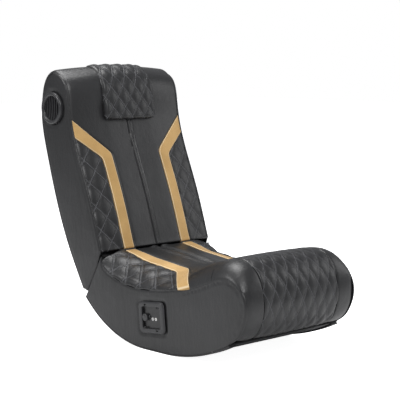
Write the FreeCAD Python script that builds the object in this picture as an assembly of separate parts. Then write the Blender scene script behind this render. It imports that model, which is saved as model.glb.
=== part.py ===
import FreeCAD, Part
import math
import os
from FreeCAD import Vector

# Floor rocker chair with sound. X runs across the chair, minus Y is the front and Z is up.
# All sizes are millimetres. Side view places are (y, z), with z counted from the floor.

# Widths across the chair
WIDTH = 440.0
COVER_T = 8.2
BOARD_T = 18.0
BACK_BOARD_T = 9.0
FIT = 0.3

# Rocker: a short flat to stand on, with a round rise behind it and in front of it
FLAT_MID_Y = -46.0
FLAT_LENGTH = 76.0
REAR_R = 376.0
FRONT_R = 568.0
ROCKER_REAR_Y = 300.0
ROCKER_FRONT_Y = -340.0
RUNNER_T = 4.5
RUNNER_W = 26.0
RUNNER_INSET = 2.0
BASE_BOARD_T = 4.0

# Crease between seat and back, which is the fold's axis
CREASE_Y = 184.0
CREASE_Z = 250.0
BUTT_ANGLE = -60.6
BUTT_GAP = 0.5
CUSHION_BUTT_GAP = 5.2
BUTT_REACH = 160.0

# Skins in the side view, from the crease on
BACK_SKIN = [(184.5, 251.5), (208, 325), (246, 430), (300, 562), (320, 632), (331, 700), (346, 744),
             (378, 768), (418, 769), (449, 745), (466, 698), (471, 645), (448, 530), (409, 405),
             (352, 265), (278, 134)]
SEAT_SKIN = [(183.5, 250.5), (124, 247), (64, 241), (0, 234), (-60, 229), (-124, 238), (-200, 262),
             (-262, 281), (-312, 287), (-354, 275), (-385, 243), (-401, 200), (-404, 158),
             (-394, 118), (-372, 86), (-343, 66)]
SEAT_SEAM = [(186, 246), (176, 214), (140, 194), (99, 182), (39, 173), (-51, 178), (-144, 193),
             (-251, 228), (-323, 249), (-372, 234), (-401, 197), (-406, 158), (-394, 118),
             (-372, 86), (-343, 66)]
BACK_CORNER = (238.0, 127.0)

# Cushions: depth under the skin, and lengths along the skin from the crease
BACK_PAD = 19.0
SEAT_PAD = 58.0
BACK_TOP = 592.0
SEAT_LENGTH = 452.0
BOLSTER_END = 778.0
BOLSTER_HALF = 148.0
PUFF = 4.0
SEAM_DIP = 2.5
BACK_CROWN = 4.0
BACK_EDGE_DROP = 10.0
HEAD_CROWN = 11.5
HEAD_START = 400.0
HEAD_FULL = 540.0
SEAT_CROWN = 13.0
SEAT_CROWN_FULL = 110.0
SEAT_FLATTEN = 0.85
SEAT_FLAT_START = 270.0
SEAT_FLAT_END = 420.0
SEAT_EDGE = 7.0
VALLEY = 6.0
VALLEY_LENGTH = 60.0
REAR_FLAT = 700.0
SEAM_STEP = 10.0
REAR_STEP = 11.0

# Stripes: edges across, and where they turn outward along the skin
STRIPE_IN = 94.0
STRIPE_OUT = 132.0
BACK_IN_BEND = 298.0
BACK_IN_END = 413.0
BACK_OUT_BEND = 284.0
BACK_OUT_END = 358.0
SEAT_IN_BEND = 240.0
SEAT_IN_END = 360.0
SEAT_OUT_BEND = 229.0
SEAT_OUT_END = 314.0
DOUBLE_SEAM = 13.0

# Diamond quilting: how far the diamonds reach across and along, and how far they stand up
WING_DIAMOND = (74.0, 78.0)
SEAT_DIAMOND = (74.0, 62.0)
BOLSTER_DIAMOND = (42.2, 85.0)
PAD_DIAMOND = (46.5, 62.0)
QUILT_RISE = 5.0

# Headrest pad
PAD_HALF = 93.0
PAD_START = 398.0
PAD_END = 591.0
PAD_T = 23.0
PAD_TOP_T = 5.0
PAD_ROUND = 24.0
PAD_LIP = 0.45

# Rails and decks
RAIL_T = 18.0
RAIL_DEEP = 62.0
DECK_T = 12.0
DECK_START = 34.0
BACK_DECK_T = 3.0
BACK_DECK_END = 455.0
BACK_RAIL_DEEP = 45.0
TOP_RAIL_AT = 548.0
TOP_RAIL_DEEP = 26.0
BACK_RAIL_AT = 250.0
DECK_END = 508.0
FRONT_BOARD_Y = -318.0
FRONT_BOARD_LOW = 121.0
FRONT_RAIL_DEEP = 44.0
CROSS_BOARD_YS = [-112.0, -212.0]
FRONT_RAIL_TOP = 150.0
TOP_RAIL_DROP = 6.0
WINDOWS = [(100.0, 180.0), (285.0, 365.0)]
WINDOW_DEPTH = 50.0
WINDOW_WIDE = 66.0
RAIL_TOP_DROP = 15.0
BACK_COVER_T = 2.5
BOARD_START = 30.0
COVER_START = 4.0

# Fold hinge
HINGE_X = 120.0
LEAF_T = 2.0
LEAF_DEEP = 40.0
KNUCKLES = 3
KNUCKLE_LENGTH = 20.0
KNUCKLE_GAP = 0.4
KNUCKLE_R = 4.6
PIN_R = 2.5
PIN_PLAY = 0.05

# Speakers at the sides of the head
SPEAKER_Y = 408.0
SPEAKER_Z = 664.0
GRILLE_R = 48.0
GRILLE_PROUD = 8.0
GRILLE_T = 2.2
GRILLE_RIM = 9.0
SLOTS = 6
SLOT_PITCH = 11.0
SLOT_WIDTH = 5.0
BASKET_R = 40.0
BASKET_DEEP = 34.0
BASKET_RIM = 5.0
MAGNET_R = 20.0
MAGNET_T = 9.0
SIDES = 16

# Control panel on the sitter's right
PANEL_Y = -39.6
PANEL_Z = 96.0
PANEL_TILT = -5.5
PANEL_LONG = 107.0
PANEL_TALL = 90.0
PANEL_CORNER_R = 16.0
FACE_LONG = 76.0
FACE_TALL = 62.0
FACE_CORNER_R = 7.0
PLATE_T = 3.0
PLATE_DEPTH = 5.0
BEZEL_PROUD = 5.5
BEZEL_BEVEL = 3.5
BEZEL_LAP = 6.5
SKIRT = 4.0
AMP_DEEP = 46.0
AMP_RIM = 2.0
AMP_PLAY = 2.0
KNOB_R = 10.5
KNOB_PROUD = 7.0
KNOB_ACROSS = 26.5
SHAFT_R = 3.0
RUN_PLAY = 0.05
BUTTON_R = 3.2
BUTTON_ACROSS = 12.0
BUTTON_UP = 2.2
BUTTON_TRAVEL = 1.5
BUTTON_PROUD = 2.5
JACK_ACROSS = [0.0, -13.0]
JACK_UP = -4.5
JACK_R = 1.8
JACK_DEEP = 18.0
JACK_HOLE = 15.0
JACK_PROUD = 1.2
JACK_COLLAR_R = 4.2
WELL = 6.0

BIG = 2000.0
OVERSHOOT = 25.0
ARC_STEP = 64.0
EDGE_RISE = 0.2
INNER_X = WIDTH / 2 - COVER_T - FIT
BOARD_IN = INNER_X - BOARD_T
pieces = {}


def side(y, z, x=0.0):
    return Vector(x, y, z)


class Skin:
    """A smooth line in the side view. Places on it are given by their distance from the crease."""

    def __init__(self, points, inward):
        self.points = points
        self.inward = inward
        self.line = Part.BSplineCurve()
        self.line.interpolate([side(y, z) for y, z in points])
        self.length = self.line.length()

    def frame(self, distance):
        at = self.line.parameterAtDistance(distance, self.line.FirstParameter)
        along = self.line.tangent(at)[0]
        into = Vector(0, along.z, -along.y) * self.inward
        return self.line.value(at), along, into

    def place(self, distance, depth):
        point, along, into = self.frame(distance)
        return point + into * depth

    def edge(self, start, end, depth=0.0):
        """The stretch from start to end as a chain of arcs, moved inward by depth."""
        count = max(2, int(math.ceil(abs(end - start) / ARC_STEP)))
        step = (end - start) / count
        chain = []
        for i in range(count):
            spots = [self.place(start + step * (i + half), depth) for half in (0, 0.5, 1)]
            chain.append(Part.Arc(*spots).toShape())
        return chain


back_skin = Skin(BACK_SKIN, 1)
seat_skin = Skin(SEAT_SKIN, -1)
seat_seam = Skin(SEAT_SEAM, -1)


def ends(edge):
    first, last = edge.ParameterRange
    return edge.valueAt(first), edge.valueAt(last)


def plate(edges, x0, x1):
    """A plate of constant thickness whose outline is the chain of edges, closed by lines."""
    chain = []
    for i, edge in enumerate(edges):
        chain.append(edge)
        after = edges[(i + 1) % len(edges)]
        gap_from, gap_to = ends(edge)[1], ends(after)[0]
        if gap_from.distanceToPoint(gap_to) > 1e-6:
            chain.append(Part.makeLine(gap_from, gap_to))
    face = Part.Face(Part.Wire(chain))
    face.translate(Vector(x0, 0, 0))
    return face.extrude(Vector(x1 - x0, 0, 0))


def sheet(skin, start, end, depth, thick, half):
    """A bent board or cover of constant thickness that follows the skin."""
    return plate(skin.edge(start, end, depth) + skin.edge(end, start, depth + thick), -half, half)


def box(x0, x1, y0, y1, z0, z1):
    return Part.makeBox(x1 - x0, y1 - y0, z1 - z0, Vector(x0, y0, z0))


def mirrored(shape):
    return shape.mirror(Vector(0, 0, 0), Vector(1, 0, 0))


def pair(name, shape):
    """The shape is on the plus X side, and its twin mirrors it."""
    pieces[name + "_left"] = shape
    pieces[name + "_right"] = mirrored(shape)


def butt_place(shape):
    """From the butt's own frame, with Y square to the butt and minus Z down along it, to the chair."""
    shape.rotate(Vector(0, 0, 0), Vector(1, 0, 0), BUTT_ANGLE + 90)
    shape.translate(side(CREASE_Y, CREASE_Z))
    return shape


def seat_side(shape, gap=BUTT_GAP):
    """What lies in front of the butt plane, half the gap away from it."""
    return shape.cut(butt_place(box(-BIG, BIG, -gap / 2, BIG, -BIG, BIG)))


def back_side(shape, gap=BUTT_GAP):
    return shape.cut(butt_place(box(-BIG, BIG, -BIG, gap / 2, -BIG, BIG)))


def rocker_edges(height, backward=False):
    """The rocker's bottom line, raised by height, from its front end to its rear end or back."""
    flat_front = FLAT_MID_Y - FLAT_LENGTH / 2
    flat_rear = FLAT_MID_Y + FLAT_LENGTH / 2

    def on_arc(centre_y, radius, angle):
        r = radius - height
        return side(centre_y + r * math.sin(angle), radius - r * math.cos(angle))

    front_turn = math.asin((ROCKER_FRONT_Y - flat_front) / FRONT_R)
    rear_turn = math.asin((ROCKER_REAR_Y - flat_rear) / REAR_R)
    front = [on_arc(flat_front, FRONT_R, front_turn * k) for k in (1, 0.5, 0)]
    flat = [side(flat_front, height), side(flat_rear, height)]
    rear = [on_arc(flat_rear, REAR_R, rear_turn * k) for k in (0, 0.5, 1)]
    lines = [front, flat, rear]
    if backward:
        lines = [line[::-1] for line in lines[::-1]]
    return [Part.makeLine(*line) if len(line) == 2 else Part.Arc(*line).toShape() for line in lines]


def bend(distance, near, bend_at, end_at):
    """An edge that runs straight up the cushion and then slants out to the side."""
    if distance <= bend_at:
        return near
    return near + (WIDTH / 2 - near) * (distance - bend_at) / (end_at - bend_at)


def back_in(distance):
    return bend(distance, STRIPE_IN, BACK_IN_BEND, BACK_IN_END)


def back_out(distance):
    return bend(distance, STRIPE_OUT, BACK_OUT_BEND, BACK_OUT_END)


def seat_in(distance):
    return bend(distance, STRIPE_IN, SEAT_IN_BEND, SEAT_IN_END)


def seat_out(distance):
    return bend(distance, STRIPE_OUT, SEAT_OUT_BEND, SEAT_OUT_END)


def valley(distance):
    """Both cushions roll down to the crease, so that the back can fold over the seat."""
    return VALLEY * max(0.0, 1 - distance / VALLEY_LENGTH) ** 2


def smooth(distance, start, end):
    """Goes softly from 0 at start to 1 at end."""
    share = min(1.0, max(0.0, (distance - start) / (end - start)))
    return share * share * (3 - 2 * share)


def back_height(x, distance):
    """The back's front stands a little proud in the middle and falls off towards its edges. The
    head is crowned, with its crown running out again down the rear."""
    share = abs(x) / (WIDTH / 2)
    crown = HEAD_CROWN * smooth(distance, HEAD_START, HEAD_FULL) * (1 - smooth(distance, BACK_TOP, REAR_FLAT))
    fall = BACK_EDGE_DROP * share ** 3 * (1 - smooth(distance, HEAD_FULL, BACK_TOP))
    proud = BACK_CROWN * (1 - smooth(distance, BACK_TOP, REAR_FLAT))
    return proud - fall + crown * (1 - share ** 2) - valley(distance)


def seam_drops():
    """How far under the skin the side seam runs, for places a step apart along the skin."""
    count = int(seat_skin.length / SEAM_STEP) + 1
    seam = [seat_seam.frame(seat_seam.length * i / 400)[0] for i in range(401)]
    drops = []
    for i in range(count):
        point, along, into = seat_skin.frame(i * SEAM_STEP)
        near = [p for p in seam if -SEAT_PAD < (p - point).dot(into) < 2 * SEAT_PAD]
        foot = min(near, key=lambda p: abs((p - point).dot(along)))
        drops.append(max(0.0, (foot - point).dot(into)))
    return drops


SEAM_DROPS = seam_drops()


def seam_drop(distance):
    at = min(distance / SEAM_STEP, len(SEAM_DROPS) - 1.001)
    first = int(at)
    return SEAM_DROPS[first] + (SEAM_DROPS[first + 1] - SEAM_DROPS[first]) * (at - first)


def seat_height(x, distance):
    """The seat is crowned between the stripes and rolls down over the shoulders to the side seam."""
    past = max(0.0, abs(x) - STRIPE_OUT) / (WIDTH / 2 - STRIPE_OUT)
    flatter = 1 - SEAT_FLATTEN * smooth(distance, SEAT_FLAT_START, SEAT_FLAT_END)
    rise = smooth(distance, 0, SEAT_CROWN_FULL) * flatter
    crown = SEAT_CROWN * rise * (x / STRIPE_OUT) ** 2
    edge_crown = SEAT_CROWN * rise * (WIDTH / 2 / STRIPE_OUT) ** 2
    shoulder = max(0.0, seam_drop(distance) - edge_crown) * past ** 3
    return -min(crown + shoulder + valley(distance), SEAT_PAD - SEAT_EDGE)


def above(x, distance):
    """The top of a cutter that reaches past a cushion's surface."""
    return OVERSHOOT


def stations(start, end, extra=(), step=46.0):
    count = max(2, int(round((end - start) / step)))
    spots = [start + (end - start) * i / count for i in range(count + 1)]
    spots += [e for e in extra if start < e < end]
    return sorted(set(round(s, 3) for s in spots))


def soft(skin, spots, row_of, depth):
    """A soft solid of flat facets. Its rows lie at spots along the skin, and row_of(number, spot)
    lists each row's places across with their heights over the skin."""
    over, under = [], []
    for number, spot in enumerate(spots):
        point, along, into = skin.frame(spot)
        row = row_of(number, spot)
        over += [point + Vector(x, 0, 0) - into * up for x, up in row]
        under += [point + Vector(x, 0, 0) + into * depth for x, up in row]
    wide = len(row)
    facets = []

    def four(a, b, c, d):
        facets.extend([(a, b, c), (a, c, d)])

    for i in range(len(spots) - 1):
        for j in range(wide - 1):
            a, b, c, d = [(i + k) * wide + j + m for k, m in ((0, 0), (0, 1), (1, 1), (1, 0))]
            four(*((a, b, c, d) if (i + j) % 2 == 0 else (b, c, d, a)))
            four(*[len(over) + k for k in (d, c, b, a)])
    for i in range(len(spots) - 1):
        for j, turned in ((0, False), (wide - 1, True)):
            a, d = i * wide + j, (i + 1) * wide + j
            ring = (a, d, len(over) + d, len(over) + a)
            four(*((ring[2], ring[1], ring[0], ring[3]) if turned else ring))
    for j in range(wide - 1):
        for i, turned in ((0, True), (len(spots) - 1, False)):
            a, b = i * wide + j, i * wide + j + 1
            ring = (a, b, len(over) + b, len(over) + a)
            four(*(ring[::-1] if turned else ring))
    shell = Part.Shape()
    shell.makeShapeFromMesh((over + under, facets), 0.001)
    solid = Part.makeSolid(shell).removeSplitter()
    if solid.Volume < 0:
        solid.reverse()
    return solid


def cushion(skin, spots, channels, height, depth, puff=PUFF, dip=SEAM_DIP, parts=4):
    """A cushion along a skin. channels(distance) lists the sewn lines across it, and the cover
    stands up in an arch of some parts between each two of them."""
    def row_of(number, spot):
        lines = channels(spot)
        row = [(lines[0], height(lines[0], spot) - dip)]
        for a, b in zip(lines, lines[1:]):
            rise = puff if b - a > 4 * puff else 0.0
            for k in range(1, parts + 1):
                x = a + (b - a) * k / parts
                arch = 1 - (2 * k / parts - 1) ** 2
                row.append((x, height(x, spot) - dip + rise * arch))
        return row

    return soft(skin, spots, row_of, depth)


def quilt(skin, start, end, x0, x1, height, depth, diamond):
    """A diamond quilted cushion. Rows and columns lie a quarter of a diamond apart, the sewn lines
    run along the facets' diagonals, and each diamond stands up in its middle."""
    lines = int(math.ceil((x1 - x0) / (diamond[0] / 4)))
    rows = int(math.ceil((end - start) / (diamond[1] / 4)))
    spots = [start + (end - start) * i / rows for i in range(rows + 1)]

    def row_of(number, spot):
        row = []
        for i in range(lines + 1):
            x = x0 + (x1 - x0) * i / lines
            rise = abs(math.sin(math.pi * (i + number) / 4) * math.sin(math.pi * (i - number) / 4))
            if number in (0, rows) or i in (0, lines):
                rise = min(rise, EDGE_RISE)
            row.append((x, height(x, spot) - SEAM_DIP + QUILT_RISE * rise))
        return row

    return soft(skin, spots, row_of, depth)


def within(shape, x0, x1):
    return shape.common(box(x0, x1, -BIG, BIG, -BIG, BIG))


def rail(name, skin, distance, depth, deep, thick, half):
    """A wooden cross rail, square to the skin, from depth to depth plus deep below it."""
    point, along, into = skin.frame(distance)
    start = point + into * depth - along * (thick / 2)
    corners = [start, start + along * thick, start + along * thick + into * deep, start + into * deep]
    face = Part.Face(Part.makePolygon(corners + [start]))
    face.translate(Vector(-half, 0, 0))
    pieces[name] = face.extrude(Vector(2 * half, 0, 0))


# Butt rails: the two wooden rails that meet at the butt and carry the hinge leaves
def butt_rails():
    near = BUTT_GAP / 2 + LEAF_T
    drop = [-RAIL_DEEP - RAIL_TOP_DROP, -RAIL_TOP_DROP]
    half = BOARD_IN - FIT
    pieces["seat_rail_rear"] = butt_place(box(-half, half, -near - RAIL_T, -near, *drop))
    back_half = INNER_X - BACK_BOARD_T - FIT
    pieces["back_rail_lower"] = butt_place(box(-back_half, back_half, near, near + RAIL_T, *drop))


def rail_room():
    """The space round both butt rails and their hinges that the cushions leave free."""
    reach = BUTT_GAP / 2 + LEAF_T + RAIL_T + FIT
    below = butt_place(box(-INNER_X, INNER_X, -reach, reach, -BIG, -RAIL_TOP_DROP + FIT))
    room = [below]
    for x in (-HINGE_X, HINGE_X):
        half = KNUCKLES * KNUCKLE_LENGTH / 2 + 1 + FIT
        knuckle = Part.makeCylinder(KNUCKLE_R + 2 * FIT, 2 * half, Vector(x - half, 0, 0), Vector(1, 0, 0))
        room.append(butt_place(knuckle))
    return room


def cut_all(shape, cutters):
    for cutter in cutters:
        shape = shape.cut(cutter)
    return shape


# Fold hinges: two leaves each, with alternating knuckles round one pin
def hinge(name, middle):
    start = middle - KNUCKLES * KNUCKLE_LENGTH / 2
    seat_leaf = box(start, start + KNUCKLES * KNUCKLE_LENGTH,
                    -BUTT_GAP / 2 - LEAF_T, -BUTT_GAP / 2, -LEAF_DEEP, 0)
    back_leaf = box(start, start + KNUCKLES * KNUCKLE_LENGTH,
                    BUTT_GAP / 2, BUTT_GAP / 2 + LEAF_T, -LEAF_DEEP, 0)
    bore = {0: PIN_R, 1: PIN_R + PIN_PLAY}
    leaves = {0: seat_leaf, 1: back_leaf}
    for i in range(KNUCKLES):
        x = start + i * KNUCKLE_LENGTH
        own, other = i % 2, 1 - i % 2
        long = KNUCKLE_LENGTH - KNUCKLE_GAP
        barrel = Part.makeCylinder(KNUCKLE_R, long, Vector(x + KNUCKLE_GAP / 2, 0, 0), Vector(1, 0, 0))
        room = Part.makeCylinder(KNUCKLE_R + FIT, KNUCKLE_LENGTH, Vector(x, 0, 0), Vector(1, 0, 0))
        leaves[other] = leaves[other].cut(room)
        leaves[own] = leaves[own].fuse(barrel)
    for own in leaves:
        reach = KNUCKLES * KNUCKLE_LENGTH + 2
        drill = Part.makeCylinder(bore[own], reach, Vector(start - 1, 0, 0), Vector(1, 0, 0))
        leaves[own] = leaves[own].cut(drill).removeSplitter()
    pin = Part.makeCylinder(PIN_R, KNUCKLES * KNUCKLE_LENGTH, Vector(start, 0, 0), Vector(1, 0, 0))
    pieces["seat_leaf_" + name] = butt_place(leaves[0])
    pieces["back_leaf_" + name] = butt_place(leaves[1])
    pieces["hinge_pin_" + name] = butt_place(pin)


# Seat frame: two side boards, a front board, a middle rail and the deck under the cushions
def seat_frame():
    bottom = rocker_edges(RUNNER_T + BASE_BOARD_T + 2 * FIT)
    top = seat_skin.edge(DECK_START, DECK_END, SEAT_PAD + DECK_T + 4 * FIT)
    nose = seat_skin.edge(DECK_END + 2 * FIT, BOLSTER_END, SEAT_PAD + 4 * FIT)
    start = ends(top[0])[0]
    rear = Part.makeLine(side(CREASE_Y + BUTT_REACH, start.z), start)
    board = seat_side(plate(bottom + [rear] + top + nose, BOARD_IN, INNER_X))
    pair("seat_board", board)
    pieces["seat_board_right"] = pieces["seat_board_right"].cut(amp_room())
    half = BOARD_IN - FIT
    deck = sheet(seat_skin, DECK_START, DECK_END, SEAT_PAD + 2 * FIT, DECK_T, INNER_X)
    deck = cut_all(seat_side(deck), rail_room())
    pieces["seat_deck"] = deck
    low = rocker_edges(RUNNER_T + BASE_BOARD_T + 3 * FIT)
    under_deck = plate(low + [rear] + top, -half, half)
    for i, y in enumerate(CROSS_BOARD_YS):
        board = box(-half, half, y - RAIL_T, y, 0, CREASE_Z).common(under_deck)
        pieces["seat_cross_board_%d" % (i + 1)] = board
    front = box(-half, half, FRONT_BOARD_Y - RAIL_T, FRONT_BOARD_Y, FRONT_BOARD_LOW, CREASE_Z)
    pieces["seat_front_board"] = front.cut(bolster_room(INNER_X))
    block = box(-half, half, FRONT_BOARD_Y + FIT, FRONT_BOARD_Y + FIT + FRONT_RAIL_DEEP, 0, FRONT_RAIL_TOP)
    over_base = plate(low + [Part.makeLine(side(BIG, BIG), side(-BIG, BIG))], -half, half)
    pieces["seat_rail_front"] = block.common(over_base)


def bolster_room(half):
    """The space that the front bolster fills, with the fit round it."""
    room = SEAT_PAD + 4 * FIT
    return sheet(seat_skin, SEAT_LENGTH, BOLSTER_END, -OVERSHOOT, room + OVERSHOOT, half + 1)


def amp_room():
    half_long = FACE_LONG / 2 + AMP_RIM + AMP_PLAY
    half_tall = FACE_TALL / 2 + AMP_RIM + AMP_PLAY
    return panel_place(box(-WIDTH / 2, -BOARD_IN + 1, -half_long, half_long, -half_tall, half_tall))


def panel_place(shape):
    shape.rotate(Vector(0, 0, 0), Vector(1, 0, 0), PANEL_TILT)
    shape.translate(side(PANEL_Y, PANEL_Z))
    return shape


# Seat cushions: middle, two quilted wings, two stripes and the bolster
def seat_cushions():
    spots = stations(0, SEAT_LENGTH, (SEAT_IN_BEND, SEAT_OUT_BEND, SEAT_IN_END, SEAT_OUT_END))
    room = rail_room()

    def middle(d):
        edge = min(seat_in(d), WIDTH / 2 + OVERSHOOT) - FIT / 2
        return [-edge, -edge * 0.55, 0, edge * 0.55, edge]

    def stripe(d):
        return [seat_in(d) + FIT / 2, seat_out(d) - FIT / 2]

    def inside_wing(d):
        return [0, seat_out(d) + FIT / 2]

    body = cushion(seat_skin, spots, middle, seat_height, SEAT_PAD, puff=3)
    pieces["seat_cushion"] = trim_seat(within(body, -INNER_X, INNER_X), room)
    band = cushion(seat_skin, [s for s in spots if s <= SEAT_IN_END] + [SEAT_IN_END + 10],
                   stripe, seat_height, SEAT_PAD, puff=0.5, dip=1)
    pair("seat_stripe", trim_seat(within(band, 0, INNER_X), room))
    edge = STRIPE_OUT + FIT / 2
    wing = quilt(seat_skin, 0, SEAT_OUT_END, edge, INNER_X, seat_height, SEAT_PAD, SEAT_DIAMOND)
    inside = cushion(seat_skin, spots[:-1], inside_wing, above, SEAT_PAD + OVERSHOOT)
    pair("seat_wing", trim_seat(cut_all(wing, [inside, band]), room))


def trim_seat(shape, room):
    return cut_all(seat_side(shape, CUSHION_BUTT_GAP), room)


def trim_back(shape, room):
    return cut_all(back_side(shape, CUSHION_BUTT_GAP), room)


def bolster():
    spots = stations(SEAT_LENGTH + FIT, BOLSTER_END, step=30)
    edge = BOLSTER_HALF - FIT / 2

    def end(d):
        return [BOLSTER_HALF + FIT / 2, INNER_X]

    pieces["bolster"] = quilt(seat_skin, SEAT_LENGTH + FIT, BOLSTER_END, -edge, edge, seat_height,
                              SEAT_PAD, BOLSTER_DIAMOND)
    pair("bolster_end", cushion(seat_skin, spots, end, seat_height, SEAT_PAD, puff=5))


# Side covers, base cover and runners
def seat_covers():
    bottom = rocker_edges(RUNNER_T + FIT)
    seam = seat_seam.edge(COVER_START / 2, seat_seam.length, 1)
    crease = ends(seam[0])[0]
    back_line = Part.makeLine(side(CREASE_Y + BUTT_REACH, crease.z), crease)
    cover = seat_side(plate(bottom + [back_line] + seam, INNER_X + FIT, WIDTH / 2))
    pieces["seat_side_left"] = cover
    opening = rounded_block(PANEL_LONG - 2 * BEZEL_LAP, PANEL_TALL - 2 * BEZEL_LAP,
                            PANEL_CORNER_R - BEZEL_LAP, -WIDTH / 2 - 1, -INNER_X + 1)
    pieces["seat_side_right"] = mirrored(cover).cut(panel_place(opening))
    pieces["base_board"] = seat_side(rocker_sheet(RUNNER_T + FIT, BASE_BOARD_T, -INNER_X, INNER_X))
    outer = WIDTH / 2 - RUNNER_INSET
    pair("runner", seat_side(rocker_sheet(0, RUNNER_T, outer - RUNNER_W, outer)))


def rocker_sheet(height, thick, x0, x1):
    """A strip or board of constant thickness that follows the rocker's bottom line."""
    return plate(rocker_edges(height) + rocker_edges(height + thick, True), x0, x1)


# Back frame
def back_frame():
    front = back_skin.edge(BOARD_START, BACK_TOP, BACK_PAD + BACK_DECK_T + 5 * FIT)
    rear = back_skin.edge(BACK_TOP, back_skin.length, BACK_COVER_T + 2 * FIT)
    low = Part.makeLine(ends(rear[-1])[1], side(*BACK_CORNER) + Vector(0, 0, BACK_COVER_T))
    board = back_side(plate(front + rear + [low], INNER_X - BACK_BOARD_T, INNER_X))
    hole = Part.makeCylinder(BASKET_R + FIT, BIG, Vector(0, SPEAKER_Y, SPEAKER_Z), Vector(1, 0, 0))
    board = board.cut(hole)
    for start, end in WINDOWS:
        corners = [back_skin.place(d, depth) for d, depth in (
            (start, WINDOW_DEPTH), (end, WINDOW_DEPTH), (end, WINDOW_DEPTH + WINDOW_WIDE),
            (start, WINDOW_DEPTH + WINDOW_WIDE))]
        window = Part.Face(Part.makePolygon(corners + corners[:1])).extrude(Vector(BIG, 0, 0))
        board = board.cut(window)
    pair("back_board", board)
    half = INNER_X - BACK_BOARD_T - FIT
    depth = BACK_PAD + BACK_DECK_T + 4 * FIT
    rail("back_rail_middle", back_skin, BACK_RAIL_AT, depth, BACK_RAIL_DEEP, RAIL_T, half)
    rail("back_rail_top", back_skin, TOP_RAIL_AT, BACK_PAD + TOP_RAIL_DROP, TOP_RAIL_DEEP, RAIL_T, half)
    deck = sheet(back_skin, DECK_START, BACK_DECK_END, BACK_PAD + 3 * FIT, BACK_DECK_T, INNER_X)
    pieces["back_deck"] = cut_all(back_side(deck), rail_room())


# Back cushions
def back_cushions():
    spots = stations(0, BACK_TOP, (BACK_IN_BEND, BACK_OUT_BEND, BACK_IN_END, BACK_OUT_END))
    room = rail_room()

    def middle(d):
        edge = min(back_in(d), WIDTH / 2 + OVERSHOOT) - FIT / 2
        seam = DOUBLE_SEAM / 2
        return [-edge, -seam, seam, edge]

    def stripe(d):
        return [back_in(d) + FIT / 2, back_out(d) - FIT / 2]

    def inside_wing(d):
        return [0, back_out(d) + FIT / 2]

    body = cushion(back_skin, spots, middle, back_height, BACK_PAD, puff=3)
    pieces["back_cushion"] = trim_back(within(body, -INNER_X, INNER_X), room)
    band = cushion(back_skin, [s for s in spots if s <= BACK_IN_END] + [BACK_IN_END + 10],
                   stripe, back_height, BACK_PAD, puff=0.5, dip=1)
    pair("back_stripe", trim_back(within(band, 0, INNER_X), room))
    edge = STRIPE_OUT + FIT / 2
    wing = quilt(back_skin, 0, BACK_OUT_END, edge, INNER_X, back_height, BACK_PAD, WING_DIAMOND)
    spots = [s for s in spots if s <= BACK_IN_END]
    inside = cushion(back_skin, spots, inside_wing, above, BACK_PAD + OVERSHOOT)
    pair("back_wing", trim_back(cut_all(wing, [inside, band]), room))


def headrest():
    def height(x, d):
        thick = PAD_T + (PAD_TOP_T - PAD_T) * smooth(d, PAD_START, HEAD_FULL)
        return back_height(x, d) + thick * min(1.0, (d - PAD_START) / PAD_ROUND + PAD_LIP)

    pad = quilt(back_skin, PAD_START, PAD_END, -PAD_HALF, PAD_HALF, height, 3, PAD_DIAMOND)
    pieces["headrest_pad"] = pad.cut(pieces["back_cushion"])


def back_covers():
    skin = back_skin.edge(COVER_START, back_skin.length, 1)
    low = Part.makeLine(ends(skin[-1])[1], side(*BACK_CORNER))
    cover = back_side(plate(skin + [low], INNER_X + FIT, WIDTH / 2))
    hole = Part.makeCylinder(GRILLE_R + FIT, BIG, Vector(0, SPEAKER_Y, SPEAKER_Z), Vector(1, 0, 0))
    pair("back_side", cover.cut(hole))
    spots = stations(BACK_TOP + FIT, REAR_FLAT, step=REAR_STEP)
    spots += stations(REAR_FLAT, back_skin.length, step=2 * REAR_STEP)[1:]

    def whole(d):
        return [-INNER_X, 0, INNER_X]

    pieces["back_rear_cover"] = cushion(back_skin, spots, whole, back_height, BACK_COVER_T, puff=0, dip=0)


# Speakers: grille, basket with cone, and magnet
def ring(radius, hole, x0, x1):
    """A round ring about the speaker's axis."""
    disc = Part.makeCylinder(radius, x1 - x0, Vector(x0, 0, 0), Vector(1, 0, 0))
    return disc.cut(Part.makeCylinder(hole, x1 - x0, Vector(x0, 0, 0), Vector(1, 0, 0)))


def many_sided(radius, x0, x1):
    """The driver's pressed housing has SIDES flats."""
    turns = [math.radians(360 / SIDES * k) for k in range(SIDES + 1)]
    outline = Part.makePolygon([Vector(x0, radius * math.cos(t), radius * math.sin(t)) for t in turns])
    return Part.Face(outline).extrude(Vector(x1 - x0, 0, 0))


def speaker():
    out = WIDTH / 2 + GRILLE_PROUD
    base = INNER_X + FIT
    face_r = GRILLE_R - GRILLE_RIM
    web_x = out - 2 - GRILLE_T
    rim = ring(GRILLE_R, face_r, base, out)
    web = Part.makeCylinder(face_r, GRILLE_T, Vector(web_x, 0, 0), Vector(1, 0, 0))
    for k in range(SLOTS):
        across = (k - (SLOTS - 1) / 2) * SLOT_PITCH
        half = math.sqrt((face_r - SLOT_WIDTH) ** 2 - across ** 2)
        web = web.cut(box(web_x - 1, out, across - SLOT_WIDTH / 2, across + SLOT_WIDTH / 2, -half, half))
    grille = rim.fuse(web).removeSplitter()
    rear = base - BASKET_DEEP
    step = base - FIT - BASKET_RIM
    basket = many_sided(BASKET_R, step, base - FIT).fuse(many_sided(BASKET_R - BASKET_RIM, rear, step))
    cone = many_sided(BASKET_R - 2 * BASKET_RIM, step - BASKET_RIM, base)
    basket = basket.cut(cone).removeSplitter()
    magnet = many_sided(MAGNET_R, rear - MAGNET_T, rear)
    for name, shape in (("speaker_grille", grille), ("speaker_basket", basket), ("speaker_magnet", magnet)):
        shape.translate(side(SPEAKER_Y, SPEAKER_Z))
        pair(name, shape)


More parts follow.
